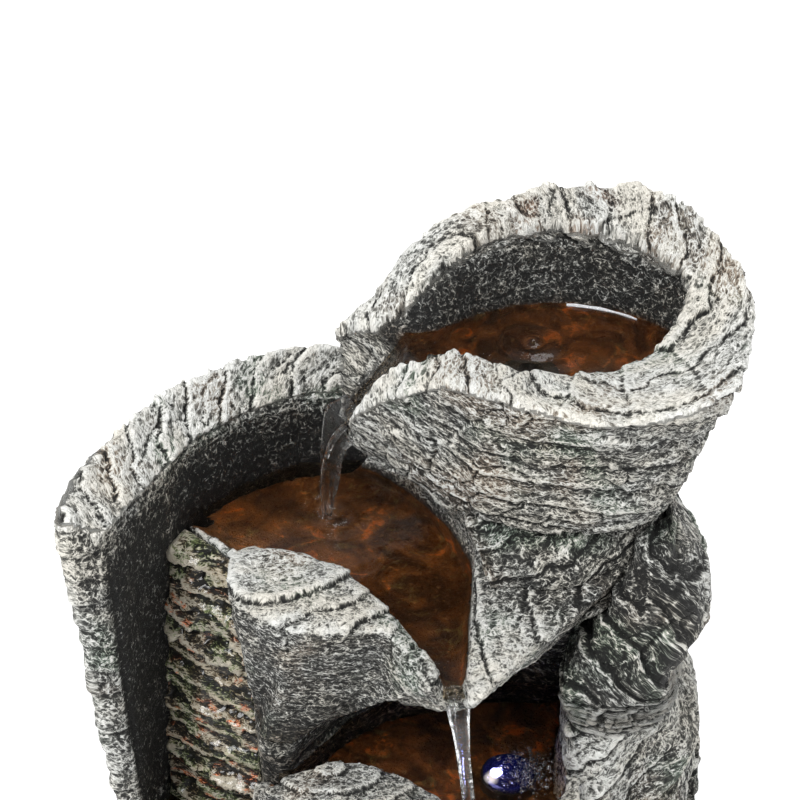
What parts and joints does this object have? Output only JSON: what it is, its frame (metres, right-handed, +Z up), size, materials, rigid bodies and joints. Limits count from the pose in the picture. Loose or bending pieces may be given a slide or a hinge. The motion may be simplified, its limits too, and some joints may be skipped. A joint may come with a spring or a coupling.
{
  "type": "tabletop water fountain",
  "caption": "Cast stone-look tabletop fountain: a top bowl pours into stacked pools beside a slate cascade, fed by a pump in a reservoir tub.",
  "frame": {"origin": "centre of the footprint's bounding box on the table top", "axes": "+X to the object's right seen from the front, +Y to its rear, +Z up"},
  "size_m": [0.256, 0.183, 0.301],
  "materials": {
    "cast_stone": "dark grey cast resin stone, dry-brushed off-white on the raised grain",
    "slate_stack": "brown and olive slate ledges with off-white and rust tips",
    "pump_plastic": "black moulded plastic",
    "impeller_plastic": "white moulded plastic",
    "magnet": "dark ferrite",
    "steel_shaft": "ground",
    "black_rubber": "moulded rubber",
    "foot_pads": "foam rubber",
    "clear_tube": "clear flexible tube",
    "lamp_plastic": "black moulded plastic",
    "lamp_board": "white board with bright light chips",
    "lamp_lens": "clear domed lens",
    "water": "clear water over a brown pool bed"
  },
  "bodies": {
    "fountain": {"reservoir_tub": "cast_stone", "screen_wall": "cast_stone", "tower_core": "cast_stone", "middle_pool": "cast_stone", "lower_pool": "cast_stone", "right_buttress": "cast_stone", "slate_cascade": "slate_stack", "bowl_pedestal": "cast_stone", "top_bowl": "cast_stone", "cable_gland": "black_rubber", "pump_body": "pump_plastic", "pump_volute": "pump_plastic", "rotor_shaft": "steel_shaft", "shaft_bushes": "black_rubber", "suction_cups": "black_rubber", "riser_tube": "clear_tube", "bowl_nozzle": "pump_plastic", "lamp_housing": "lamp_plastic", "lamp_board": "lamp_board", "lamp_lens": "lamp_lens", "foot_pads": "foot_pads"},
    "hatch_cover": {"rear_cover": "cast_stone"},
    "pump_rotor": {"pump_impeller": "impeller_plastic", "magnet_rotor": "magnet"},
    "grille": {"intake_grille": "pump_plastic"},
    "gate": {"flow_gate": "pump_plastic"}
  },
  "joints": [
    {"name": "cover_pull", "type": "slide", "parent": "fountain", "child": "hatch_cover", "axis": [0, 1, 0], "range_m": [0, 0.05]},
    {"name": "rotor_spin", "type": "hinge", "parent": "fountain", "child": "pump_rotor", "pos_m": [0.02, 0.0355, 0.031], "axis": [1, 0, 0], "continuous": true},
    {"name": "grille_pull", "type": "slide", "parent": "fountain", "child": "grille", "axis": [1, 0, 0], "range_m": [0, 0.009]},
    {"name": "gate_slide", "type": "slide", "parent": "grille", "child": "gate", "axis": [0, 0, 1], "range_m": [-0.0055, 0.0055]}
  ]
}
